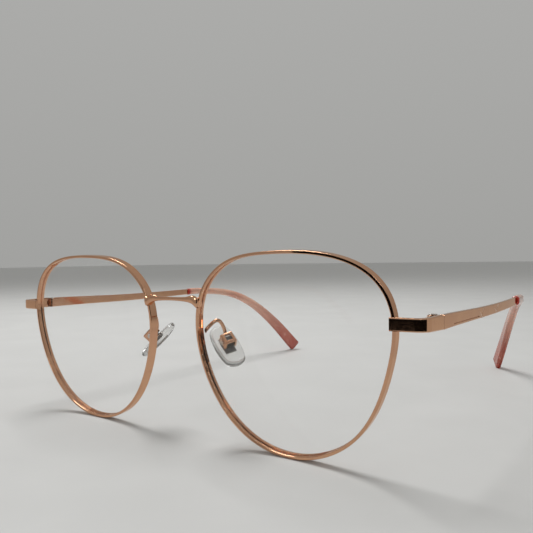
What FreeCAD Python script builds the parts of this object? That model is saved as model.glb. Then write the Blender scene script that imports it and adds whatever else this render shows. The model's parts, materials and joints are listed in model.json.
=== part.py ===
import FreeCAD, Part
import math
import os

# Round wire eyeglasses with hinged temples and rocking nose pads.
# Millimetres and degrees. +Z is up, +Y runs back along the temples, the front faces -Y,
# and +X is the wearer's left. The left half is modelled and mirrored for the right.
# At the end everything moves so that the origin is the middle of the footprint.

V = FreeCAD.Vector
UP = V(0, 0, 1)
BACK = V(0, 1, 0)
LEFT = V(1, 0, 0)

# --- Lens and rim -------------------------------------------------------------------
BASE_RADIUS = 132.5            # radius of the lens curve, a 4 base lens
LENS_CENTRE = V(35.06, 0.42, 24.67)
LENS_TILT = 5.2                # bottom of the rim is nearer the cheek
LENS_WRAP = 0.9                # outer side of the rim is further back
# Middle line of the rim section in the lens plane: u outward, v up, from the lens centre
RIM_LINE = [(25.67, 13.04), (24.27, 15.95), (-3.31, 24.17), (-18.65, 20.56), (-24.17, 15.04),
            (-24.57, -5.62), (-11.73, -21.76), (0.9, -24.47), (16.25, -17.75), (25.47, 0.1)]
RIM_WIDTH = 0.76               # section across the outline
RIM_DEPTH = 2.4                # section front to back
RIM_ROUND = 0.16
GROOVE_DEPTH = 0.28
GROOVE_WIDTH = 0.8
LENS_THICKNESS = 1.6
LENS_CLEARANCE = 0.03
OUTLINE_STEPS = 48             # points taken along the middle line to offset it
RIM_SPLIT_GAP = 0.12           # the rim opens here to take the lens
RIM_SPLIT_HEIGHT = 33.58

# --- Bridge -------------------------------------------------------------------------
BRIDGE_HEIGHT = 37.35          # middle of the bar above the table
# Right half of the outline seen from the front: across, and above the middle of the bar
BRIDGE_TOP = [(0, 0.34), (4.2, 0.36), (6.4, 0.82), (7.4, 0.95), (8.7, 0.02), (9.4, 0.4),
              (10.6, 2.0)]
BRIDGE_UNDER = [(11.5, -4.1), (9.75, -4.1), (9.2, -3.1), (8.6, -2.15), (7.6, -1.4), (6.0, -0.95),
                (3.0, -0.65), (0, -0.6)]
# Right half seen from above: across, front face and back face
BRIDGE_PLAN = [(0, 0.4, 1.5), (5.0, 0.35, 1.6), (8.0, 0.05, 2.2), (11.6, -0.2, 2.6)]
BRIDGE_REACH = 10.0            # taken past the bar on every side before it is trimmed

# --- End piece ----------------------------------------------------------------------
END_START = V(60.95, 0.75, 0)  # inner end of the flat plate, on its front face
END_CORNER = V(68.75, 1.25, 0)
END_FINISH = V(69.3, 10.9, 0)  # outer face where the temple begins
END_BEND = 3.0
END_THICKNESS = 1.05
END_BEVEL = 0.22
PLATE_BOTTOM = 32.15
PLATE_TOP = 35.0
JOINT_BOTTOM = 31.85
JOINT_TOP = 35.05

# --- Closing block ------------------------------------------------------------------
BLOCK_FRONT = 1.85
BLOCK_DEPTH = 2.3
BLOCK_WIDTH = 2.6
BLOCK_INNER = 61.0
BLOCK_TOP = 34.78
BLOCK_BOTTOM = 32.43
CLOSING_SCREW = 0.5            # radius of the screw shank
CLOSING_SCREW_IN = 2.45        # from the inner side of the block to the screw
CLOSING_SCREW_SHORT = 0.45     # the screw head is sunk this far
CLOSING_HEAD = 0.85            # radius of the head
CLOSING_HEAD_HEIGHT = 0.4
CLOSING_SINK = 0.88            # radius of the counterbore
CLOSING_SCREW_LENGTH = BLOCK_TOP - BLOCK_BOTTOM - CLOSING_SCREW_SHORT

# --- Hinge --------------------------------------------------------------------------
HINGE_X = 66.85
HINGE_Y = 10.9
HINGE_Z = 33.43                # middle of the knuckles
KNUCKLE_RADIUS = 1.2
KNUCKLE_END = 0.75             # height of the upper and lower knuckle
KNUCKLE_MIDDLE = 1.15
KNUCKLE_GAP = 0.06
HINGE_HEIGHT = KNUCKLE_MIDDLE + 2 * KNUCKLE_END + 2 * KNUCKLE_GAP
HINGE_SCREW = 0.55             # radius of the screw shank
HINGE_CLEARANCE = 0.04
HINGE_HEAD = 0.95              # radius of the screw head
HINGE_HEAD_HEIGHT = 0.28
LEAF_LENGTH = 4.6
LEAF_SETBACK = 0.2             # from the middle of the knuckles to the leaf
LEAF_FROM_KNUCKLE = 0.15
LEAF_HEIGHT = 2.3              # of the rear leaf
LEAF_REACH = END_FINISH.x - END_THICKNESS - HINGE_X - LEAF_SETBACK

# --- Temple and tip -----------------------------------------------------------------
JOINT_GAP = 0.08               # between end piece and temple when open
TEMPLE_LINE = [V(68.77, 10.9, 33.43), V(69.0, 22.0, 33.34), V(69.5, 50.0, 32.9),
               V(69.8, 84.0, 33.2), V(68.2, 100.0, 32.7), V(65.2, 112.0, 30.5),
               V(61.7, 122.0, 25.7), V(57.6, 132.0, 17.6), V(50.7, 145.6, 1.83)]
STRIP_BEVEL = 0.12             # along the edges of the metal strip
CORE_BEVEL = 0.2
TIP_FLAT = 0.78                # share of the section left at the two blunt ends
TIP_EASE = 0.4                 # length of the bevel at the blunt ends
# how far back, height, thickness
TEMPLE_SIZES = [(10.98, 3.2, 1.06), (20.0, 3.0, 1.05), (34.0, 2.75, 1.0), (60.0, 2.5, 0.95),
                (84.0, 2.3, 0.9)]
CORE_SIZES = [(83.6, 1.3, 0.7), (100.0, 1.2, 0.7), (118.0, 1.1, 0.7), (138.0, 1.0, 0.6)]
TIP_SIZES = [(84.0, 2.75, 2.3), (94.0, 2.8, 2.35), (104.0, 2.95, 2.4), (114.0, 3.3, 2.45),
             (124.0, 3.9, 2.5), (132.0, 4.6, 2.45), (139.0, 5.3, 2.3), (145.6, 5.7, 2.1)]
CORE_CLEARANCE = 0.03
LEDGE_START = 17.5             # engraved line along the lower edge of the temple
LEDGE_END = 38.5
LEDGE_RISE = 0.62              # from the lower edge of the strip
CUT_DEPTH = 0.16
CUT_OVER = 1.15                # the crosses run past the edges of the face
CROSS_PLACES = (40.7, 55.4)    # bright cut crosses on the outer face
CROSS_CUTS = ((-3.2, 0.9), (2.6, -0.5))   # shift of the upper and lower end of each cut
NOTCH_SIZE = 0.55              # small notches at the joint's upper and lower edge
NOTCH_OUT = 0.08

# --- Nose pad -----------------------------------------------------------------------
PAD_CENTRE = V(12.6, 8.4, 24.4)
PAD_LONG = V(-0.713, 0.203, 0.671)     # up along the pad
PAD_FACE = V(-0.521, 0.488, -0.701)    # towards the nose
PAD_LENGTH = 13.6
PAD_WIDTH = 7.0
PAD_THICKNESS = 2.6
PAD_CROWN = 24.0               # radius of the face that meets the nose
PAD_ROUND = 0.75
BOX_LONG = 3.3
BOX_WIDE = 3.3
BOX_WALL = 0.5
BOX_ROUND = 0.35
BOX_NEAR = 1.6                 # from the middle of the pad to the mouth of the box
BOX_FAR = 4.1
BOX_WINDOW = 1.7               # square opening in the back of the box
CORE_PLATE = V(5.0, 3.0, 0.5)
CORE_PLATE_BACK = 0.1          # from the middle of the pad to the plate
STEM_WIDE = 2.1
STEM_LONG = 2.2
STEM_OVER = 0.72               # of the stem beyond the screw
PAD_AXIS = 2.7                 # from the middle of the pad to the pad screw
PAD_SCREW = 0.5
PAD_SCREW_HEAD = 0.75          # radius of the head
PAD_SCREW_HEAD_HEIGHT = 0.3
PAD_CLEARANCE = 0.04
ARM_RADIUS = 0.48
ARM_FOOT = 1.25                # the solder foot is this much thicker than the wire
ARM_LINE = [V(9.45, 3.0, 28.75), V(10.35, 4.7, 30.6), V(11.45, 6.1, 31.5), V(12.1, 7.2, 30.2),
            V(12.6, 7.7, 27.7)]


def closed_curve(points):
    curve = Part.BSplineCurve()
    curve.interpolate(Points=points, PeriodicFlag=True)
    return curve


def open_curve(points):
    curve = Part.BSplineCurve()
    curve.interpolate(Points=points)
    return curve


MIDDLE_LINE = closed_curve([V(u, 0, v) for u, v in RIM_LINE])
TEMPLE_CURVE = open_curve(TEMPLE_LINE)
LENS_PLACE = FreeCAD.Placement(
    LENS_CENTRE, FreeCAD.Rotation(UP, LENS_WRAP) * FreeCAD.Rotation(LEFT, LENS_TILT))
CURVE_CENTRE = V(0, BASE_RADIUS, 0)


def outline_prism(distance):
    """The rim's middle line moved outward by distance, as a tall prism along the lens axis."""
    first, last = MIDDLE_LINE.FirstParameter, MIDDLE_LINE.LastParameter
    points = []
    for step in range(OUTLINE_STEPS):
        place = first + (last - first) * step / OUTLINE_STEPS
        outward = BACK.cross(MIDDLE_LINE.tangent(place)[0])
        points.append(MIDDLE_LINE.value(place) + outward * distance - BACK * 15)
    wire = Part.Wire(closed_curve(points).toShape())
    return Part.Face(wire).extrude(BACK * 30)


def curved_slice(prism, thickness):
    """The part of a prism inside a shell that follows the lens curve."""
    outer = Part.makeSphere(BASE_RADIUS + thickness / 2, CURVE_CENTRE)
    inner = Part.makeSphere(BASE_RADIUS - thickness / 2, CURVE_CENTRE)
    return prism.common(outer).cut(inner)


def placed(shape):
    """Moves a shape from the lens frame to the model frame."""
    result = shape.copy()
    result.Placement = LENS_PLACE
    return result


def make_rim():
    half = RIM_WIDTH / 2
    band = curved_slice(outline_prism(half).cut(outline_prism(-half)), RIM_DEPTH)
    band = band.makeFillet(RIM_ROUND, [edge for edge in band.Edges if edge.isClosed()])
    groove = curved_slice(outline_prism(GROOVE_DEPTH - half), GROOVE_WIDTH)
    rim = placed(band.cut(groove))
    gap = Part.makeBox(4, 10, RIM_SPLIT_GAP)
    gap.translate(V(60, -3, RIM_SPLIT_HEIGHT - RIM_SPLIT_GAP / 2))
    return rim.cut(gap)


def make_lens():
    inner = -RIM_WIDTH / 2
    body = curved_slice(outline_prism(inner - LENS_CLEARANCE), LENS_THICKNESS)
    bevel = curved_slice(outline_prism(inner + GROOVE_DEPTH - 2 * LENS_CLEARANCE),
                         GROOVE_WIDTH - LENS_CLEARANCE)
    return placed(body.fuse(bevel).removeSplitter())


def extruded_z(outline, bottom, top):
    """An outline in plan, taken from one height to another."""
    face = Part.Face(outline)
    face.translate(UP * bottom)
    return face.extrude(UP * (top - bottom))


def bent_path(start, corner, finish, radius):
    """Line, arc and line through a corner: end points, arc points and the arc's centre."""
    before = (corner - start).normalize()
    after = (finish - corner).normalize()
    turn = before.getAngle(after)
    reach = radius * math.tan(turn / 2)
    arc_start = corner - before * reach
    arc_end = corner + after * reach
    towards = (after - before).normalize()
    centre = corner + towards * (radius / math.cos(turn / 2))
    return arc_start, centre, arc_end, towards


def make_end_piece():
    arc_start, centre, arc_end, towards = bent_path(END_START, END_CORNER, END_FINISH, END_BEND)
    inner_radius = END_BEND - END_THICKNESS
    side_in = (centre - arc_start).normalize() * END_THICKNESS
    side_out = (centre - arc_end).normalize() * END_THICKNESS
    edges = [
        Part.LineSegment(END_START, arc_start).toShape(),
        Part.Arc(arc_start, centre - towards * END_BEND, arc_end).toShape(),
        Part.LineSegment(arc_end, END_FINISH).toShape(),
        Part.LineSegment(END_FINISH, END_FINISH + side_out).toShape(),
        Part.LineSegment(END_FINISH + side_out, arc_end + side_out).toShape(),
        Part.Arc(arc_end + side_out, centre - towards * inner_radius,
                 arc_start + side_in).toShape(),
        Part.LineSegment(arc_start + side_in, END_START + side_in).toShape(),
        Part.LineSegment(END_START + side_in, END_START).toShape(),
    ]
    strip = extruded_z(Part.Wire(edges), PLATE_BOTTOM - 2, PLATE_TOP + 2)
    side = [(-2, PLATE_BOTTOM), (2, PLATE_BOTTOM), (HINGE_Y, JOINT_BOTTOM),
            (HINGE_Y, JOINT_TOP), (2, PLATE_TOP), (-2, PLATE_TOP)]
    profile = Part.Face(Part.makePolygon([V(55, y, z) for y, z in side + side[:1]]))
    plate = strip.common(profile.extrude(LEFT * 20))
    outer_path = Part.Wire(edges[:3])
    plate = plate.makeChamfer(END_BEVEL, [
        edge for edge in plate.Edges if on_outer_rim(edge, outer_path)])
    for edge_height, sign in ((JOINT_TOP, 1), (JOINT_BOTTOM, -1)):
        plate = plate.cut(corner_notch(edge_height, sign))
    return plate.cut(rim_envelope())


def on_outer_rim(edge, outer_path):
    """True for the upper and lower edges of the face that looks outward."""
    middle = edge.valueAt((edge.FirstParameter + edge.LastParameter) / 2)
    foot = Part.Vertex(V(middle.x, middle.y, 0))
    upright = edge.BoundBox.ZLength > 2
    return not upright and outer_path.distToShape(foot)[0] < 0.02


def corner_notch(height, sign):
    """A small bevel across the joint, at the top or bottom edge of the outer face."""
    middle = V(END_FINISH.x - 3, HINGE_Y + JOINT_GAP / 2, height + sign * NOTCH_OUT)
    return Part.makeCylinder(NOTCH_SIZE / 2, 6, middle, LEFT)


def rim_envelope():
    """Everything inside the outer wall of the rim, at the rim's own depth."""
    return placed(curved_slice(outline_prism(RIM_WIDTH / 2), RIM_DEPTH))


def make_closing_blocks():
    """Two blocks on the ends of the split rim, with the bore of their screw."""
    half_gap = RIM_SPLIT_GAP / 2
    spans = ((RIM_SPLIT_HEIGHT + half_gap, BLOCK_TOP), (BLOCK_BOTTOM, RIM_SPLIT_HEIGHT - half_gap))
    inside_rim = placed(outline_prism(RIM_WIDTH / 2))
    bore = screw_shape(closing_screw_foot(), UP, CLOSING_SCREW, CLOSING_SCREW_LENGTH,
                       CLOSING_SINK, 1.0)
    blocks = []
    for bottom, top in spans:
        block = Part.makeBox(BLOCK_WIDTH + 1, BLOCK_DEPTH, top - bottom,
                             V(BLOCK_INNER, BLOCK_FRONT, bottom))
        blocks.append(block.cut(inside_rim).cut(bore))
    return blocks


def closing_screw_foot():
    return V(BLOCK_INNER + CLOSING_SCREW_IN, BLOCK_FRONT + BLOCK_DEPTH / 2, BLOCK_BOTTOM)


def screw_shape(foot, axis, shank, length, head, head_height):
    """A cheese head screw standing on its foot, without its slot."""
    body = Part.makeCylinder(shank, length, foot, axis)
    return body.fuse(Part.makeCylinder(head, head_height, foot + axis * length, axis))


def slotted(screw, top, axis, across, width, depth, slot=0.28):
    """Cuts the driver slot in a screw head."""
    side = axis.cross(across)
    rotation = FreeCAD.Rotation(across, side, axis, "ZXY")
    cutter = Part.makeBox(2 * width, slot, 2 * depth, V(-width, -slot / 2, -depth))
    cutter.Placement = FreeCAD.Placement(top, rotation)
    return screw.cut(cutter).removeSplitter()


def make_closing_screw():
    foot = closing_screw_foot()
    screw = screw_shape(foot, UP, CLOSING_SCREW, CLOSING_SCREW_LENGTH, CLOSING_HEAD,
                        CLOSING_HEAD_HEIGHT)
    top = foot + UP * (CLOSING_SCREW_LENGTH + CLOSING_HEAD_HEIGHT)
    return slotted(screw, top, UP, LEFT, 0.9, 0.22)


def knuckle(bottom, height, leaf_sign):
    """One barrel of the hinge with its leaf, before the bore."""
    barrel = Part.makeCylinder(KNUCKLE_RADIUS, height, V(HINGE_X, HINGE_Y, bottom))
    face = END_FINISH.x - END_THICKNESS
    leaf = Part.makeBox(face - HINGE_X, LEAF_LENGTH, height,
                        V(HINGE_X, HINGE_Y - (LEAF_LENGTH if leaf_sign < 0 else 0), bottom))
    return barrel.fuse(leaf)


def hinge_bore(radius):
    return Part.makeCylinder(radius, 8, V(HINGE_X, HINGE_Y, HINGE_Z - 4))


def swing_room(start):
    """Room between a leaf and the other half of the hinge, from a place behind the axis."""
    corner = V(HINGE_X + KNUCKLE_RADIUS * 0.55, HINGE_Y + start, HINGE_Z - 4)
    return Part.makeBox(4, KNUCKLE_RADIUS + 2, 8, corner)


def make_hinge_front(end_piece):
    """Leaf and two knuckles soldered inside the end piece."""
    bottom = HINGE_Z - HINGE_HEIGHT / 2
    lower = knuckle(bottom, KNUCKLE_END, -1)
    upper = knuckle(bottom + HINGE_HEIGHT - KNUCKLE_END, KNUCKLE_END, -1)
    leaf = Part.makeBox(LEAF_REACH, LEAF_LENGTH - KNUCKLE_RADIUS - LEAF_FROM_KNUCKLE, HINGE_HEIGHT,
                        V(HINGE_X + LEAF_SETBACK, HINGE_Y - LEAF_LENGTH, bottom))
    body = lower.fuse(upper).fuse(leaf).removeSplitter()
    return body.cut(hinge_bore(HINGE_SCREW)).cut(end_piece).cut(swing_room(-0.02))


def make_hinge_rear(temple):
    """Leaf and middle knuckle soldered inside the temple."""
    bottom = HINGE_Z - KNUCKLE_MIDDLE / 2
    middle = knuckle(bottom, KNUCKLE_MIDDLE, 1)
    start = KNUCKLE_RADIUS + LEAF_FROM_KNUCKLE
    leaf = Part.makeBox(LEAF_REACH + 0.5, LEAF_LENGTH - start, LEAF_HEIGHT,
                        V(HINGE_X + LEAF_SETBACK, HINGE_Y + start, HINGE_Z - LEAF_HEIGHT / 2))
    body = middle.fuse(leaf).removeSplitter()
    room = swing_room(JOINT_GAP - KNUCKLE_RADIUS - 2)
    return body.cut(hinge_bore(HINGE_SCREW + HINGE_CLEARANCE)).cut(temple).cut(room)


def make_hinge_screw():
    foot = V(HINGE_X, HINGE_Y, HINGE_Z - HINGE_HEIGHT / 2)
    screw = screw_shape(foot, UP, HINGE_SCREW, HINGE_HEIGHT, HINGE_HEAD, HINGE_HEAD_HEIGHT)
    top = foot + UP * (HINGE_HEIGHT + HINGE_HEAD_HEIGHT)
    return slotted(screw, top, UP, LEFT, 1.0, 0.16)


def temple_frame(far_back):
    """Place on the temple's line at a distance back, with its outward and upward directions."""
    low, high = TEMPLE_CURVE.FirstParameter, TEMPLE_CURVE.LastParameter
    for _ in range(40):
        middle = (low + high) / 2
        if TEMPLE_CURVE.value(middle).y < far_back:
            low = middle
        else:
            high = middle
    along = TEMPLE_CURVE.tangent(low)[0]
    outward = along.cross(UP).normalize()
    upward = outward.cross(along)
    return TEMPLE_CURVE.value(low), outward, upward, along


def strip_section(far_back, height, thickness, bevel):
    """A rectangle with bevelled corners, square to the temple's line."""
    place, outward, upward, _ = temple_frame(far_back)
    across, tall = thickness / 2, height / 2
    corners = [(across, tall - bevel), (across - bevel, tall), (bevel - across, tall),
               (-across, tall - bevel), (-across, bevel - tall), (bevel - across, -tall),
               (across - bevel, -tall), (across, bevel - tall)]
    points = [place + outward * a + upward * b for a, b in corners]
    return Part.makePolygon(points + points[:1])


def round_section(far_back, height, thickness, share=1.0, onward=0.0):
    """A rounded rectangle made of lines and arcs, square to the temple's line."""
    place, outward, upward, along = temple_frame(far_back)
    place = place + along * onward
    across, tall = thickness / 2 * share, height / 2 * share
    radius = across * 0.82

    def at(a, b):
        return place + outward * a + upward * b

    edges = []
    for turn_a, turn_b, first in ((1, 1, 0), (-1, 1, 1), (-1, -1, 0), (1, -1, 1)):
        centre_a, centre_b = turn_a * (across - radius), turn_b * (tall - radius)
        side = at(turn_a * across, centre_b)
        end = at(centre_a, turn_b * tall)
        slant = radius * math.sqrt(0.5)
        middle = at(centre_a + turn_a * slant, centre_b + turn_b * slant)
        start, finish = (end, side) if first else (side, end)
        if edges:
            edges.append(Part.LineSegment(edges[-1].Vertexes[-1].Point, start).toShape())
        edges.append(Part.Arc(start, middle, finish).toShape())
    edges.append(Part.LineSegment(edges[-1].Vertexes[-1].Point, edges[0].Vertexes[0].Point)
                 .toShape())
    return Part.Wire(edges)


def engraved(start, finish, depth):
    """A V shaped cutter, square in section, along a line on a face."""
    along = finish - start
    side = depth * math.sqrt(2)
    bar = Part.makeBox(side, side, along.Length, V(-side / 2, -side / 2, 0))
    bar.rotate(V(0, 0, 0), UP, 45)
    outward = LEFT
    across = along.cross(outward)
    bar.Placement = FreeCAD.Placement(
        start, FreeCAD.Rotation(outward, across, along, "ZXY")).multiply(bar.Placement)
    return bar


def on_outer_face(far_back, rise, height, thickness):
    """A point on the outer face of the temple, rise being from -1 at the bottom to 1."""
    place, outward, upward, _ = temple_frame(far_back)
    return place + outward * (thickness / 2) + upward * (rise * height / 2)


def size_at(sizes, far_back):
    """Height and thickness between two listed places."""
    for (y0, h0, t0), (y1, h1, t1) in zip(sizes, sizes[1:]):
        if y0 <= far_back <= y1:
            share = (far_back - y0) / (y1 - y0)
            return h0 + (h1 - h0) * share, t0 + (t1 - t0) * share
    return sizes[-1][1:]


def make_temple():
    """Flat strip with engraved lines, going on as a wire core inside the tip."""
    strip = Part.makeLoft([strip_section(y, h, t, STRIP_BEVEL) for y, h, t in TEMPLE_SIZES], True)
    core = Part.makeLoft([strip_section(y, h, t, CORE_BEVEL) for y, h, t in CORE_SIZES], True)
    temple = strip.fuse(core)
    for edge_height, sign in ((JOINT_TOP, 1), (JOINT_BOTTOM, -1)):
        temple = temple.cut(corner_notch(edge_height, sign))
    for start, finish in engraved_lines():
        temple = temple.cut(engraved(start, finish, CUT_DEPTH))
    return temple


def engraved_lines():
    """Start and finish of every cut on the outer face."""
    lines = []
    ledge = []
    for far_back in (LEDGE_START, LEDGE_END):
        height, thickness = size_at(TEMPLE_SIZES, far_back)
        rise = 2 * LEDGE_RISE / height - 1
        ledge.append(on_outer_face(far_back, rise, height, thickness))
    lines.append(tuple(ledge))
    for place in CROSS_PLACES:
        for top_shift, bottom_shift in CROSS_CUTS:
            ends = []
            for shift, rise in ((top_shift, CUT_OVER), (bottom_shift, -CUT_OVER)):
                height, thickness = size_at(TEMPLE_SIZES, place + shift)
                ends.append(on_outer_face(place + shift, rise, height, thickness))
            lines.append(tuple(ends))
    return lines


def make_temple_tip():
    """Acetate sleeve over the core, thin at the front and broad and blunt at the end."""
    body = Part.makeLoft([round_section(*size) for size in TIP_SIZES], True)
    for size, onward in ((TIP_SIZES[0], -TIP_EASE), (TIP_SIZES[-1], TIP_EASE)):
        eased = [round_section(*size), round_section(*size, TIP_FLAT, onward)]
        body = body.fuse(Part.makeLoft(eased, True, True))
    body = body.removeSplitter()
    grown = 2 * CORE_CLEARANCE
    hole = Part.makeLoft([strip_section(y, h + grown, t + grown, CORE_BEVEL)
                          for y, h, t in CORE_SIZES], True)
    seat = Part.makeLoft([strip_section(y, h + grown, t + grown, STRIP_BEVEL)
                          for y, h, t in TEMPLE_SIZES], True)
    return body.cut(hole).cut(seat)


def mirrored_outline(half):
    """Adds the left half to the right half of an outline that starts and ends in the middle."""
    return half + [(-across, *rest) for across, *rest in reversed(half)][1:]


def make_bridge():
    """A thin bar whose ends broaden and flare down along the rims."""
    seen_from_front = [V(x, 0, BRIDGE_HEIGHT + z)
                       for x, z in mirrored_outline(BRIDGE_TOP + BRIDGE_UNDER)]
    front = [(x, face) for x, face, _ in BRIDGE_PLAN]
    back = [(x, face) for x, _, face in reversed(BRIDGE_PLAN)]
    seen_from_above = [V(x, y, 0) for x, y in mirrored_outline(front + back)]
    bar = Part.Face(Part.makePolygon(seen_from_front)).extrude(BACK * 2 * BRIDGE_REACH)
    bar.translate(BACK * -BRIDGE_REACH)
    plan = Part.Face(Part.makePolygon(seen_from_above)).extrude(UP * 2 * BRIDGE_REACH)
    plan.translate(UP * (BRIDGE_HEIGHT - BRIDGE_REACH))
    bar = bar.common(plan)
    prism = placed(outline_prism(RIM_WIDTH / 2))
    return bar.cut(prism).cut(prism.mirror(V(0, 0, 0), LEFT))


def pad_place():
    """Placement whose Z is the pad's face, X along the pad and Y across it."""
    along = PAD_LONG.normalize()
    face = PAD_FACE.normalize()
    across = face.cross(along)
    return FreeCAD.Placement(PAD_CENTRE, FreeCAD.Rotation(along, across, face, "ZXY"))


def pad_solid(shape):
    result = shape.copy()
    result.Placement = pad_place().multiply(result.Placement)
    return result


def make_core():
    """Metal insert: a plate inside the pad and a stem with the screw hole."""
    plate_back = CORE_PLATE_BACK + CORE_PLATE.z
    plate = Part.makeBox(*CORE_PLATE, V(-CORE_PLATE.x / 2, -CORE_PLATE.y / 2, -plate_back))
    stem_top = PAD_AXIS + STEM_OVER
    stem = Part.makeBox(STEM_LONG, STEM_WIDE, stem_top - plate_back,
                        V(-STEM_LONG / 2, -STEM_WIDE / 2, -stem_top))
    bore = Part.makeCylinder(PAD_SCREW + PAD_CLEARANCE, 6, V(0, -3, -PAD_AXIS), BACK)
    top = [edge for edge in stem.Edges if abs(edge.BoundBox.ZMax + stem_top) < 1e-6
           and edge.BoundBox.YLength > 1]
    stem = stem.makeFillet(STEM_OVER, top)
    return pad_solid(plate.fuse(stem).removeSplitter().cut(bore))


def make_nose_pad(core):
    """Soft oval pad, crowned towards the nose and moulded round its insert."""
    straight = (PAD_LENGTH - PAD_WIDTH) / 2
    radius = PAD_WIDTH / 2
    edges = [
        Part.LineSegment(V(-straight, -radius, 0), V(straight, -radius, 0)).toShape(),
        Part.Arc(V(straight, -radius, 0), V(straight + radius, 0, 0),
                 V(straight, radius, 0)).toShape(),
        Part.LineSegment(V(straight, radius, 0), V(-straight, radius, 0)).toShape(),
        Part.Arc(V(-straight, radius, 0), V(-straight - radius, 0, 0),
                 V(-straight, -radius, 0)).toShape(),
    ]
    oval = Part.Face(Part.Wire(edges))
    oval.translate(V(0, 0, -PAD_THICKNESS / 2))
    body = oval.extrude(V(0, 0, PAD_THICKNESS + 1))
    crown = Part.makeSphere(PAD_CROWN, V(0, 0, PAD_THICKNESS / 2 - PAD_CROWN))
    body = body.common(crown)
    rim = [edge for edge in body.Edges if edge.BoundBox.ZLength < 0.01
           or edge.BoundBox.ZMin > -PAD_THICKNESS / 2 + 0.05]
    body = body.makeFillet(PAD_ROUND, rim)
    return pad_solid(body).cut(core)


def make_pad_box():
    """Cup that holds the stem, open towards the pad, with a window in its back."""
    depth = BOX_FAR - BOX_NEAR
    outer = Part.makeBox(BOX_LONG, BOX_WIDE, depth, V(-BOX_LONG / 2, -BOX_WIDE / 2, -BOX_FAR))
    corners = [edge for edge in outer.Edges if abs(edge.BoundBox.ZMax + BOX_FAR) < 1e-6]
    outer = outer.makeFillet(BOX_ROUND, corners)
    inner_wide = BOX_WIDE - 2 * BOX_WALL
    channel = Part.makeBox(BOX_LONG + 2, inner_wide, depth,
                           V(-BOX_LONG / 2 - 1, -inner_wide / 2, -BOX_FAR + BOX_WALL))
    window = Part.makeBox(BOX_WINDOW, BOX_WINDOW, depth,
                          V(-BOX_WINDOW / 2, -BOX_WINDOW / 2, -BOX_FAR - 1))
    bore = Part.makeCylinder(PAD_SCREW, 6, V(0, -3, -PAD_AXIS), BACK)
    return pad_solid(outer.cut(channel).cut(window).cut(bore))


def make_pad_screw():
    foot = V(0, BOX_WIDE / 2, -PAD_AXIS)
    axis = V(0, -1, 0)
    screw = screw_shape(foot, axis, PAD_SCREW, BOX_WIDE, PAD_SCREW_HEAD, PAD_SCREW_HEAD_HEIGHT)
    top = foot + axis * (BOX_WIDE + PAD_SCREW_HEAD_HEIGHT)
    return pad_solid(slotted(screw, top, axis, LEFT, 0.8, 0.2))


def make_pad_arm(rim, box):
    """Round wire from the back of the rim up and over to the cup."""
    curve = open_curve(ARM_LINE)
    path = Part.Wire(curve.toShape())
    circle = Part.Wire(Part.makeCircle(ARM_RADIUS, ARM_LINE[0], curve.tangent(
        curve.FirstParameter)[0]))
    arm = path.makePipeShell([circle], True, True)
    foot = Part.makeSphere(ARM_RADIUS * ARM_FOOT, ARM_LINE[0])
    return keep_largest(arm.fuse(foot).cut(rim).cut(box).cut(placed(
        curved_slice(outline_prism(0), RIM_DEPTH))))


def keep_largest(shape):
    return max(shape.Solids, key=lambda solid: solid.Volume)


def make_left_side():
    """Every piece of the left half, by name."""
    rim = make_rim()
    end_piece = make_end_piece()
    upper, lower = make_closing_blocks()
    temple = make_temple()
    core = make_core()
    box = make_pad_box()
    return {
        "rim": rim,
        "lens": make_lens(),
        "closing_block_upper": upper.cut(end_piece),
        "closing_block_lower": lower.cut(end_piece),
        "closing_screw": make_closing_screw(),
        "end_piece": end_piece,
        "hinge_front": make_hinge_front(end_piece),
        "hinge_rear": make_hinge_rear(temple),
        "hinge_screw": make_hinge_screw(),
        "temple": temple,
        "temple_tip": make_temple_tip(),
        "pad_arm": make_pad_arm(rim, box),
        "pad_box": box,
        "pad_screw": make_pad_screw(),
        "pad_insert": core,
        "nose_pad": make_nose_pad(core),
    }


def main():
    os.makedirs("parts", exist_ok=True)
    pieces = {}
    for name, shape in make_left_side().items():
        pieces[name + "_left"] = shape
        pieces[name + "_right"] = shape.mirror(V(0, 0, 0), LEFT)
    pieces["bridge"] = make_bridge()
    whole = Part.makeCompound(list(pieces.values())).BoundBox
    to_origin = V(0, -(whole.YMin + whole.YMax) / 2, -whole.ZMin)
    print("moved by", to_origin, "size", whole.XLength, whole.YLength, whole.ZLength)
    for name, shape in pieces.items():
        solid = shape.Solids[0] if len(shape.Solids) == 1 else shape
        solid = solid.copy()
        solid.translate(to_origin)
        print(name, len(shape.Solids), solid.isValid(), round(solid.Volume, 2),
              round(solid.BoundBox.ZMin, 3))
        solid.exportStep("parts/%s.step" % name)


main()
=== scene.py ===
"""Round wire eyeglasses: finishes, small fitted pieces and a plain studio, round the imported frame."""

import json
import math

import bmesh
import bpy
from mathutils import Matrix, Vector
from mathutils.bvhtree import BVHTree


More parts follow.
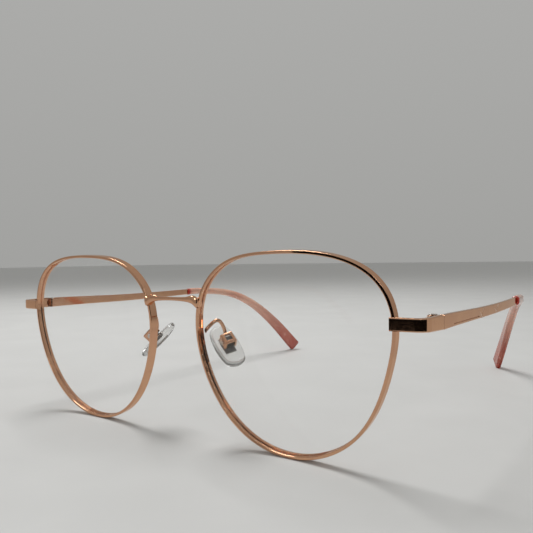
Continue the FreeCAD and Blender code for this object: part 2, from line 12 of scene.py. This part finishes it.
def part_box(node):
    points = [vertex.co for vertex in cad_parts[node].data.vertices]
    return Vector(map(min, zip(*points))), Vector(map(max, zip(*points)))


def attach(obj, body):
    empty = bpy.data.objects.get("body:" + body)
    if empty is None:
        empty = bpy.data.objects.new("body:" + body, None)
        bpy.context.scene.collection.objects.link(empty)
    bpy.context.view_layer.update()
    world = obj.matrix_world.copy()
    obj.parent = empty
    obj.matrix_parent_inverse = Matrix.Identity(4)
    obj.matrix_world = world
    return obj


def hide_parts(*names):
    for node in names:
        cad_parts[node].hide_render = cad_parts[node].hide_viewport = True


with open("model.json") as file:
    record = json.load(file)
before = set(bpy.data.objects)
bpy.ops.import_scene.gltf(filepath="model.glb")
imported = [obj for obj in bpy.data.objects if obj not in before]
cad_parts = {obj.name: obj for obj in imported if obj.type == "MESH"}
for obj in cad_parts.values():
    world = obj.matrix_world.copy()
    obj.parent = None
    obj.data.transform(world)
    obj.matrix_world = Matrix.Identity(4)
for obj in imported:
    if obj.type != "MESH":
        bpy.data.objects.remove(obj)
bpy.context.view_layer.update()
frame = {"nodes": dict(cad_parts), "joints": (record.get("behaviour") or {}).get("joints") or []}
nodes = frame["nodes"]
scene = bpy.context.scene

SIDES = (("left", 1), ("right", -1))

# Camera: place in metres, turn, tilt and roll in degrees, and the lens that goes with a 36 mm sensor.
CAMERA_PLACE = (0.10563, -0.18220, 0.04718)
CAMERA_TURN = 34.29
CAMERA_TILT = -0.636
CAMERA_ROLL = -0.776
CAMERA_LENS = 38.146

# Colours, linear.
ROSE = (0.65, 0.360, 0.225)
ROSE_WARM = (0.69, 0.395, 0.240)
ROSE_DEEP = (0.56, 0.290, 0.175)
ROSE_EDGE = (0.86, 0.580, 0.410)
ACETATE_THIN = (0.95, 0.60, 0.45)
ACETATE_THICK = (0.50, 0.07, 0.035)
ACETATE_STREAK = (0.70, 0.25, 0.16)
ACETATE_CLOUD = (0.92, 0.52, 0.40)
ACETATE_FRONT = (0.62, 0.06, 0.04)
TABLE = (0.55, 0.55, 0.54)
TABLE_PALE = (0.58, 0.58, 0.57)
FLAG = (0.006, 0.006, 0.006)

# The tones of each smaller metal: base, warm cloud, deep haze, worn edge.
STEEL_TONES = ((0.62, 0.58, 0.55), (0.70, 0.64, 0.58), (0.40, 0.36, 0.34), (0.85, 0.82, 0.78))
# Painted shade: the insert's tones are far darker than bright nickel, its dark look painted into its
# colour.
NICKEL_SHADED_TONES = ((0.15, 0.15, 0.145), (0.18, 0.175, 0.17), (0.10, 0.10, 0.10), (0.40, 0.40, 0.38))
# The cut strips' tones: pale and half diffuse, a painted highlight on the cut facets.
CUT_SHEEN_TONES = ((0.90, 0.72, 0.60), (0.94, 0.78, 0.66), (0.84, 0.62, 0.50), (0.98, 0.88, 0.80))

# Wear and thickness in metres: the eased edge of the plating, its scratches, the heights at which
# the tips are thin and thick, and the deep ring at the mouth of each tip.
EDGE_EASE = 0.00012
SCRATCH_DEPTH = 0.00001
TIP_THIN_AT, TIP_THICK_AT = 0.030, 0.004
TIP_MOUTH_START, TIP_MOUTH_END = 0.0002, 0.0024

# The sweep's grey, level with the table and overhead.
SWEEP_LOW = (0.36, 0.36, 0.35)
SWEEP_HIGH = (0.48, 0.48, 0.47)

# A plain dark flag that stands in front of the glasses, open on the wearer's right.
FLAG_RADIUS = 0.28
FLAG_HEIGHT = 0.16
FLAG_CENTRE = -0.02
FLAG_OPEN = -0.07              # nothing stands further to the right than this
FLAG_BACK = -0.05              # nor further back than this


def set_camera():
    """The camera, at the height of the hinges, turned towards the wearer's right."""
    data = bpy.data.cameras.new("studio_camera")
    data.sensor_width = 36.0
    data.lens = CAMERA_LENS
    data.clip_start, data.clip_end = 0.005, 20.0
    camera = bpy.data.objects.new("studio_camera", data)
    scene.collection.objects.link(camera)
    turn, tilt, roll = (math.radians(a) for a in (CAMERA_TURN, CAMERA_TILT, CAMERA_ROLL))
    ahead = Vector((-math.sin(turn) * math.cos(tilt), math.cos(turn) * math.cos(tilt), math.sin(tilt)))
    level = Vector((math.cos(turn), math.sin(turn), 0.0))
    upright = level.cross(ahead)
    side = math.cos(roll) * level + math.sin(roll) * upright
    top = math.cos(roll) * upright - math.sin(roll) * level
    facing = Matrix((side, top, -ahead)).transposed().to_4x4()
    camera.matrix_world = Matrix.Translation(CAMERA_PLACE) @ facing
    scene.camera = camera


def mesh_object(name, maker):
    """A new object from a finished bmesh."""
    mesh = bpy.data.meshes.new(name)
    maker.to_mesh(mesh)
    maker.free()
    made = bpy.data.objects.new(name, mesh)
    scene.collection.objects.link(made)
    return made


class Finish:
    """One procedural finish. Its parts are added one by one and joined by name."""

    def __init__(self, name, **values):
        self.material = bpy.data.materials.new(name)
        self.material.use_nodes = True
        self.tree = self.material.node_tree
        self.tree.nodes.clear()
        self.shader = self.add("BsdfPrincipled", **values)
        self.output = self.add("OutputMaterial")
        self.tree.links.new(self.shader.outputs[0], self.output.inputs["Surface"])
        self.place = self.add("TexCoord").outputs["Object"]

    def add(self, kind, settings=None, **values):
        node = self.tree.nodes.new("ShaderNode" + kind)
        for key, value in (settings or {}).items():
            setattr(node, key, value)
        for key, value in values.items():
            socket = node.inputs[key.replace("_", " ")]
            if isinstance(value, bpy.types.NodeSocket):
                self.tree.links.new(value, socket)
            elif isinstance(value, tuple) and len(value) == 3 and socket.type == "RGBA":
                socket.default_value = (*value, 1.0)
            else:
                socket.default_value = value
        return node

    def grain(self, scale, detail=3.0, stretch=None, rough=0.5):
        """A noise with the given number of cells per metre, stretched if asked."""
        place = self.place
        if stretch:
            place = self.add("Mapping", Vector=place, Scale=stretch).outputs[0]
        noise = self.add("TexNoise", Vector=place, Scale=scale, Detail=detail, Roughness=rough)
        return noise.outputs["Fac"]

    def between(self, value, low, high, to_low, to_high, smooth=False):
        """Takes value from low..high to to_low..to_high."""
        settings = {"interpolation_type": "SMOOTHSTEP" if smooth else "LINEAR"}
        names = {"From Min": low, "From Max": high, "To Min": to_low, "To Max": to_high}
        node = self.add("MapRange", settings, Value=value)
        for key, number in names.items():
            node.inputs[key].default_value = number
        return node.outputs[0]

    def sum(self, a, b, operation="ADD"):
        node = self.add("Math", {"operation": operation})
        for socket, value in zip(node.inputs, (a, b)):
            if isinstance(value, bpy.types.NodeSocket):
                self.tree.links.new(value, socket)
            else:
                socket.default_value = value
        return node.outputs[0]

    def blend(self, share, a, b):
        """Colour a where share is 0, colour b where it is 1."""
        node = self.add("Mix", {"data_type": "RGBA"})
        self.tree.links.new(share, node.inputs[0])
        for socket, value in ((node.inputs[6], a), (node.inputs[7], b)):
            if isinstance(value, bpy.types.NodeSocket):
                self.tree.links.new(value, socket)
            else:
                socket.default_value = (*value, 1.0)
        return node.outputs[2]

    def height(self, axis="Z"):
        """The place along one axis, in metres."""
        return self.add("SeparateXYZ", Vector=self.place).outputs[axis]

    def feed(self, **sockets):
        for key, value in sockets.items():
            self.tree.links.new(value, self.shader.inputs[key.replace("_", " ")])

    def edges(self, radius):
        """1 on sharp edges and 0 on flat faces, and the rounded normal."""
        eased = self.add("Bevel", {"samples": 4}, Radius=radius).outputs[0]
        flat = self.add("NewGeometry").outputs["Normal"]
        match = self.add("VectorMath", {"operation": "DOT_PRODUCT"})
        self.tree.links.new(eased, match.inputs[0])
        self.tree.links.new(flat, match.inputs[1])
        return self.between(match.outputs["Value"], 0.995, 0.90, 0.0, 1.0, smooth=True), eased

    def relief(self, height, strength, depth, normal=None):
        node = self.add("Bump", Strength=strength, Distance=depth, Height=height)
        if normal:
            self.tree.links.new(normal, node.inputs["Normal"])
        self.tree.links.new(node.outputs[0], self.shader.inputs["Normal"])


def plated(name, base, warm, deep, edge, roughness, metallic=1.0):
    """Polished plating: cloudy tone, hairline scratches, thin wear along the edges."""
    finish = Finish(name, Metallic=metallic, Specular_Tint=(0.93, 0.82, 0.73))
    cloud = finish.between(finish.grain(160.0, 3.0), 0.35, 0.65, 0.0, 1.0, smooth=True)
    tone = finish.blend(cloud, base, warm)
    haze = finish.between(finish.grain(520.0, 4.0, rough=0.6), 0.58, 0.74, 0.0, 0.6, smooth=True)
    tone = finish.blend(haze, tone, deep)
    wear, eased = finish.edges(EDGE_EASE)
    patchy = finish.between(finish.grain(900.0, 3.0), 0.40, 0.62, 0.25, 1.0)
    worn = finish.sum(wear, patchy, "MULTIPLY")
    tone = finish.blend(worn, tone, edge)
    hairline = finish.grain(2600.0, 2.0, (1.0, 0.12, 1.0))
    cross = finish.grain(3400.0, 2.0, (0.2, 1.0, 1.0))
    fine = finish.sum(hairline, cross, "MULTIPLY")
    rough = finish.between(fine, 0.12, 0.42, roughness * 0.75, roughness * 1.7)
    rough = finish.sum(rough, finish.between(worn, 0.0, 1.0, 0.0, 0.10))
    finish.feed(Base_Color=tone, Roughness=rough)
    finish.relief(fine, 0.10, SCRATCH_DEPTH, eased)
    return finish.material


def acetate():
    """Pink acetate, light where it is thin and deep where it is thick, with streaks and polishing marks."""
    finish = Finish("pink_acetate_polished", IOR=1.48, Transmission_Weight=0.48, Coat_Weight=0.2,
                    Coat_Roughness=0.06)
    depth = finish.between(finish.height("Z"), TIP_THIN_AT, TIP_THICK_AT, 0.0, 1.0, smooth=True)
    tone = finish.blend(depth, ACETATE_THIN, ACETATE_THICK)
    flow = finish.grain(150.0, 4.0, (1.0, 0.35, 0.6), 0.6)
    streak = finish.between(flow, 0.40, 0.66, 0.0, 0.5, smooth=True)
    tone = finish.blend(streak, tone, ACETATE_STREAK)
    cloud = finish.between(finish.grain(420.0, 3.0), 0.52, 0.72, 0.0, 0.45, smooth=True)
    tone = finish.blend(cloud, tone, ACETATE_CLOUD)
    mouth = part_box("temple_tip_left")[0].y
    start, end = mouth + TIP_MOUTH_START, mouth + TIP_MOUTH_END
    front = finish.between(finish.height("Y"), start, end, 1.0, 0.0, smooth=True)
    tone = finish.blend(front, tone, ACETATE_FRONT)
    marks = finish.grain(3000.0, 3.0)
    rough = finish.between(marks, 0.3, 0.7, 0.08, 0.22)
    finish.feed(Base_Color=tone, Roughness=rough)
    finish.relief(marks, 0.12, 0.00002)
    return finish.material


def silicone():
    """Clear silicone: slightly smoky, soft gloss, with faint flow marks and dust."""
    finish = Finish("clear_silicone_soft", IOR=1.30, Transmission_Weight=0.90)
    smoke = finish.between(finish.grain(380.0, 3.0), 0.40, 0.66, 0.0, 1.0, smooth=True)
    tone = finish.blend(smoke, (0.93, 0.93, 0.915), (0.86, 0.86, 0.85))
    marks = finish.grain(2200.0, 3.0)
    finish.feed(Base_Color=tone, Roughness=finish.between(marks, 0.3, 0.7, 0.05, 0.16))
    finish.relief(marks, 0.08, 0.00002)
    return finish.material


def lens_glass():
    """A coated lens: almost unseen, with a faint residual tint and the odd trace of wiping."""
    finish = Finish("coated_lens", IOR=1.5, Transmission_Weight=1.0, Alpha=0.025)
    smear = finish.grain(60.0, 4.0, (1.0, 1.0, 3.0), 0.65)
    wiping = finish.between(smear, 0.45, 0.70, 0.0, 1.0, smooth=True)
    tone = finish.blend(wiping, (0.98, 0.99, 0.98), (0.93, 0.97, 0.95))
    finish.feed(Base_Color=tone, Roughness=finish.between(wiping, 0.0, 1.0, 0.01, 0.05))
    return finish.material


# Nose pad: its directions on the wearer's left, the distance from its middle to its screw,
# and rings from the middle of the face that meets the nose to the middle of the back:
# half length, half width and height above the middle plane, in metres.
PAD_LONG = Vector((-0.713, 0.203, 0.671)).normalized()
PAD_FACE = Vector((-0.521, 0.488, -0.701)).normalized()
PAD_TO_SCREW = 0.0027
PAD_SQUARE = 1.6               # above 1 the long sides run straight
PAD_RINGS = ((0.0020, 0.0009, 0.00128), (0.0040, 0.0021, 0.00118), (0.0056, 0.0029, 0.00090),
             (0.0065, 0.0034, 0.00042), (0.0068, 0.0035, -0.00010), (0.0066, 0.0034, -0.00065),
             (0.0061, 0.0030, -0.00108), (0.0054, 0.0025, -0.00120), (0.0042, 0.0021, -0.00098),
             (0.0024, 0.0018, -0.00094), (0.0019, 0.00165, -0.00122), (0.0012, 0.0010, -0.00124))


def pad_frame(sign):
    """The pad's own directions and middle, on the wearer's left or mirrored."""
    long, face = PAD_LONG.copy(), PAD_FACE.copy()
    side = "left" if sign > 0 else "right"
    screw = next(j for j in frame["joints"] if j["name"] == f"nose_pad_{side}_rock")["pos_m"]
    long.x *= sign
    face.x *= sign
    across = face.cross(long)
    middle = Vector(screw) + face * PAD_TO_SCREW
    return Matrix((long, across, face)).transposed().to_4x4(), middle


# Bridge, sliced from the middle to the rim: across, then top and underside above the middle of the bar,
# then front and back face behind the front of the middle. Millimetres.
BRIDGE_SLICES = ((0.0, 0.34, -0.60, 0.40, 1.50), (3.0, 0.35, -0.66, 0.38, 1.55),
                 (5.3, 0.46, -0.84, 0.33, 1.65), (6.5, 0.84, -1.06, 0.25, 1.80),
                 (7.4, 0.92, -1.34, 0.15, 2.00), (8.1, 0.45, -1.75, 0.05, 2.20),
                 (8.7, 0.05, -2.25, 0.00, 2.35), (9.2, 0.25, -2.60, -0.05, 2.42),
                 (9.7, 0.60, -1.20, -0.05, 2.45))
BRIDGE_TOP_ABOVE = 0.95        # from the middle of the bar up to the top of its box
BRIDGE_SIDES = 24
BRIDGE_SQUARE_DEEP = 0.55      # below 1 the section's corners fill out, front to back
BRIDGE_SQUARE_TALL = 0.62      # and top to bottom
MM = 0.001


def squarer(value, power):
    """Pulls a circle's coordinate outward, towards a square."""
    return math.copysign(abs(value) ** power, value)


def bridge_bar(material):
    """The bar between the rims, rounded in section, with ends that flare down along the rims."""
    low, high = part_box("bridge")
    middle = high.z - BRIDGE_TOP_ABOVE * MM
    front = low.y - BRIDGE_SLICES[-1][3] * MM
    slices = [(-x, *rest) for x, *rest in reversed(BRIDGE_SLICES[1:])] + list(BRIDGE_SLICES)
    maker = bmesh.new()
    ring = None
    for across, top, under, face, back in slices:
        if ring is None:
            bmesh.ops.create_circle(maker, segments=BRIDGE_SIDES, radius=1.0)
            order, ring = maker.verts[:], maker.edges[:]
            bmesh.ops.contextual_create(maker, geom=ring)
            angles = {v: math.atan2(v.co.y, v.co.x) for v in order}
        else:
            before = set(order)
            grown = bmesh.ops.extrude_edge_only(maker, edges=ring)["geom"]
            ring = [e for e in grown if isinstance(e, bmesh.types.BMEdge)
                    and all(v not in before for v in e.verts)]
            order = [v for v in grown if isinstance(v, bmesh.types.BMVert)]
            for vert in order:
                old = next(e.other_vert(vert) for e in vert.link_edges if e.other_vert(vert) in before)
                angles[vert] = angles[old]
        for vert in order:
            round_y = squarer(math.cos(angles[vert]), BRIDGE_SQUARE_DEEP)
            round_z = squarer(math.sin(angles[vert]), BRIDGE_SQUARE_TALL)
            vert.co = (across * MM, front + ((face + back) / 2 + round_y * (back - face) / 2) * MM,
                       middle + ((top + under) / 2 + round_z * (top - under) / 2) * MM)
    bmesh.ops.contextual_create(maker, geom=ring)
    bmesh.ops.recalc_face_normals(maker, faces=maker.faces[:])
    bar = mesh_object("bridge_bar", maker)
    finish_piece(bar, "front", material)
    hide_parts("bridge")


# Cuts on the outer face of each temple, lined with strips whose pale, half-diffuse colour is a painted
# highlight: the middle of each cross along the temple, and how far the upper and lower end of each of its
# cuts lie behind that. Metres.
CROSSES = (-0.03249, -0.01779)
CUTS = ((-0.0029, 0.0006), (0.0024, -0.0003))
CUT_WIDTH = 0.00030
CUT_PROUD = 0.00004            # above the floor of the cut
CUT_TAPER = 0.8                # of the width, lost towards each end
RAY_START = 0.1                # well clear of the temple
TEMPLE_MIDDLE = 0.0693         # of the strip's thickness, from the middle of the frame
CUT_MARGIN = 0.00010           # left plain above and below


def cut_sheen_strips(side, sign, material):
    """Thin strips lining the crosses cut across the temple's outer face; their brightness is a painted
    highlight.
    """
    surface = BVHTree.FromObject(nodes[f"temple_{side}"], bpy.context.evaluated_depsgraph_get())
    inner = nodes[f"temple_{side}"].matrix_world.translation.x + sign * TEMPLE_MIDDLE
    down = Vector((0.0, 0.0, -1.0))
    maker = bmesh.new()
    for middle in CROSSES:
        for upper, lower in CUTS:
            strip = bmesh.ops.create_grid(maker, x_segments=16, y_segments=2, size=1.0)["verts"]
            for vert in strip:
                share, width = (vert.co.x + 1) / 2, vert.co.y
                along = middle + upper + (lower - upper) * share
                top = surface.ray_cast(Vector((inner, along, RAY_START)), down)[0].z
                under = surface.ray_cast(Vector((inner, along, -RAY_START)), -down)[0].z
                level = top - CUT_MARGIN + (under - top + 2 * CUT_MARGIN) * share
                taper = 1.0 - CUT_TAPER * abs(2 * share - 1) ** 4
                spot = Vector((sign * RAY_START, along + width * taper * CUT_WIDTH / 2, level))
                outer = surface.ray_cast(spot, Vector((-sign, 0.0, 0.0)))[0].x
                vert.co = (outer + sign * CUT_PROUD, spot.y, spot.z)
    bmesh.ops.recalc_face_normals(maker, faces=maker.faces[:])
    if sum(f.normal.x for f in maker.faces) * sign < 0:
        bmesh.ops.reverse_faces(maker, faces=maker.faces[:])
    bmesh.ops.solidify(maker, geom=maker.faces[:], thickness=CUT_PROUD * 2)
    bmesh.ops.recalc_face_normals(maker, faces=maker.faces[:])
    cuts = mesh_object(f"bright_cuts_{side}", maker)
    finish_piece(cuts, f"temple_{side}_arm", material, rounds=0)


def silicone_pad(side, sign, material):
    """A soft oval pad with a crowned face, a dished back and a low boss round its insert."""
    maker = bmesh.new()
    bmesh.ops.create_circle(maker, segments=40, radius=1.0)
    ring = maker.edges[:]
    front = bmesh.ops.contextual_create(maker, geom=ring)["faces"]
    bmesh.ops.poke(maker, faces=front)
    for _ in PAD_RINGS[1:]:
        grown = bmesh.ops.extrude_edge_only(maker, edges=ring)["geom"]
        fresh = {v for v in grown if isinstance(v, bmesh.types.BMVert)}
        ring = [e for e in grown if isinstance(e, bmesh.types.BMEdge) and set(e.verts) <= fresh]
        bmesh.ops.translate(maker, verts=list(fresh), vec=(0.0, 0.0, 1.0))
    back = bmesh.ops.contextual_create(maker, geom=ring)["faces"]
    bmesh.ops.poke(maker, faces=back)
    for vert in maker.verts:
        half_long, half_wide, height = PAD_RINGS[round(vert.co.z)]
        flat = vert.co.to_2d()
        lean = max(-1.0, min(1.0, PAD_SQUARE * flat.x))
        vert.co = (half_wide * flat.x + (half_long - half_wide) * lean, half_wide * flat.y, height)
    turn, middle = pad_frame(sign)
    bmesh.ops.transform(maker, matrix=Matrix.Translation(middle) @ turn, verts=maker.verts[:])
    bmesh.ops.recalc_face_normals(maker, faces=maker.faces[:])
    pad = mesh_object(f"silicone_pad_{side}", maker)
    finish_piece(pad, f"nose_pad_{side}_rocker", material)
    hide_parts(f"nose_pad_{side}")
    return pad


def finish_piece(piece, body, material, rounds=2):
    """Smooth shading, live subdivision, its material, body and slot."""
    piece.data.materials.append(material)
    for face in piece.data.polygons:
        face.use_smooth = True
    if rounds:
        soften = piece.modifiers.new("soften", "SUBSURF")
        soften.levels = soften.render_levels = rounds
    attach(piece, body)


def give(material, *names):
    for name in names:
        for slot in nodes[name].material_slots:
            slot.material = material


def both(*names):
    return [f"{name}_{side}" for name in names for side, _ in SIDES]


def dress():
    """Every finish, and the pieces that are modelled here."""
    rose = plated("rose_gold_polished", ROSE, ROSE_WARM, ROSE_DEEP, ROSE_EDGE, 0.055)
    bridge_bar(rose)
    # Pale and only partly metallic: a painted highlight on the cut facets.
    cut = plated("cut_sheen_painted", *CUT_SHEEN_TONES, roughness=0.30, metallic=0.35)
    for side, sign in SIDES:
        cut_sheen_strips(side, sign, cut)
    give(rose, *both("rim", "end_piece", "hinge_front", "hinge_rear", "temple", "pad_arm", "pad_box",
                     "closing_block_upper", "closing_block_lower"))
    steel = plated("screw_steel_bright", *STEEL_TONES, roughness=0.18)
    give(steel, *both("closing_screw", "hinge_screw", "pad_screw"))
    # Painted shade: the insert is darkened well below bright nickel, its dark look painted into its colour.
    nickel = plated("nickel_insert_satin_shaded", *NICKEL_SHADED_TONES, roughness=0.30)
    give(nickel, *both("pad_insert"))
    give(acetate(), *both("temple_tip"))
    clear = silicone()
    for side, sign in SIDES:
        silicone_pad(side, sign, clear)
    give(lens_glass(), *both("lens"))


def table_top():
    """The pale table that the glasses stand on."""
    maker = bmesh.new()
    bmesh.ops.create_grid(maker, x_segments=1, y_segments=1, size=6.0)
    table = mesh_object("table", maker)
    finish = Finish("pale_table", Roughness=0.55, Specular_IOR_Level=0.2)
    mottle = finish.between(finish.grain(30.0, 5.0), 0.3, 0.7, 0.0, 1.0)
    finish.feed(Base_Color=finish.blend(mottle, TABLE, TABLE_PALE))
    finish.relief(finish.grain(900.0, 3.0), 0.05, 0.0001)
    table.data.materials.append(finish.material)


def sweep():
    """The plain grey sweep behind, a little lighter overhead."""
    world = bpy.data.worlds.new("sweep")
    scene.world = world
    world.use_nodes = True
    tree = world.node_tree
    tree.nodes.clear()
    split = tree.nodes.new("ShaderNodeSeparateXYZ")
    mix = tree.nodes.new("ShaderNodeMix")
    mix.data_type = "RGBA"
    mix.inputs[6].default_value = (*SWEEP_LOW, 1.0)
    mix.inputs[7].default_value = (*SWEEP_HIGH, 1.0)
    back = tree.nodes.new("ShaderNodeBackground")
    out = tree.nodes.new("ShaderNodeOutputWorld")
    tree.links.new(tree.nodes.new("ShaderNodeTexCoord").outputs["Generated"], split.inputs[0])
    tree.links.new(split.outputs["Z"], mix.inputs[0])
    tree.links.new(mix.outputs[2], back.inputs[0])
    tree.links.new(back.outputs[0], out.inputs[0])


def dark_flag():
    """A plain dark flag in front, which gives polished metal its dark lines. Only gloss sees it."""
    maker = bmesh.new()
    bmesh.ops.create_circle(maker, segments=96, radius=FLAG_RADIUS)
    upper = bmesh.ops.extrude_edge_only(maker, edges=maker.edges[:])["geom"]
    bmesh.ops.translate(maker, verts=[v for v in upper if isinstance(v, bmesh.types.BMVert)],
                        vec=(0.0, 0.0, FLAG_HEIGHT))
    bmesh.ops.translate(maker, verts=maker.verts[:], vec=(0.0, FLAG_CENTRE, 0.0))
    middles = {f: f.calc_center_median() for f in maker.faces}
    unused = [f for f, middle in middles.items() if middle.x < FLAG_OPEN or middle.y > FLAG_BACK]
    bmesh.ops.delete(maker, geom=unused, context="FACES")
    flag = mesh_object("dark_flag", maker)
    flag.visible_camera = flag.visible_diffuse = flag.visible_shadow = flag.visible_transmission = False
    felt = Finish("flag_felt", Base_Color=FLAG, Roughness=0.95, Specular_IOR_Level=0.0)
    flag.data.materials.append(felt.material)


def lamp(name, place, aim, size, power):
    """A square area lamp, aimed at a point."""
    data = bpy.data.lights.new(name, "AREA")
    data.shape = "SQUARE"
    data.size = size
    data.energy = power
    light = bpy.data.objects.new(name, data)
    light.location = place
    light.rotation_euler = (Vector(aim) - Vector(place)).to_track_quat("-Z", "Y").to_euler()
    light.visible_camera = False
    scene.collection.objects.link(light)


# Each lamp: its name, place, the point it aims at, side and power.
LAMPS = (("overhead", (-0.30, 0.10, 0.75), (0.0, 0.02, 0.0), 0.32, 4.4),
         ("fill", (0.55, -0.65, 0.45), (0.0, 0.0, 0.02), 0.3, 0.9))


def studio():
    """The table, the sweep, a soft overhead light, a weak fill and the flag."""
    table_top()
    sweep()
    dark_flag()
    for settings in LAMPS:
        lamp(*settings)


set_camera()
dress()
studio()
scene.view_settings.view_transform = "Standard"
scene.view_settings.look = "None"
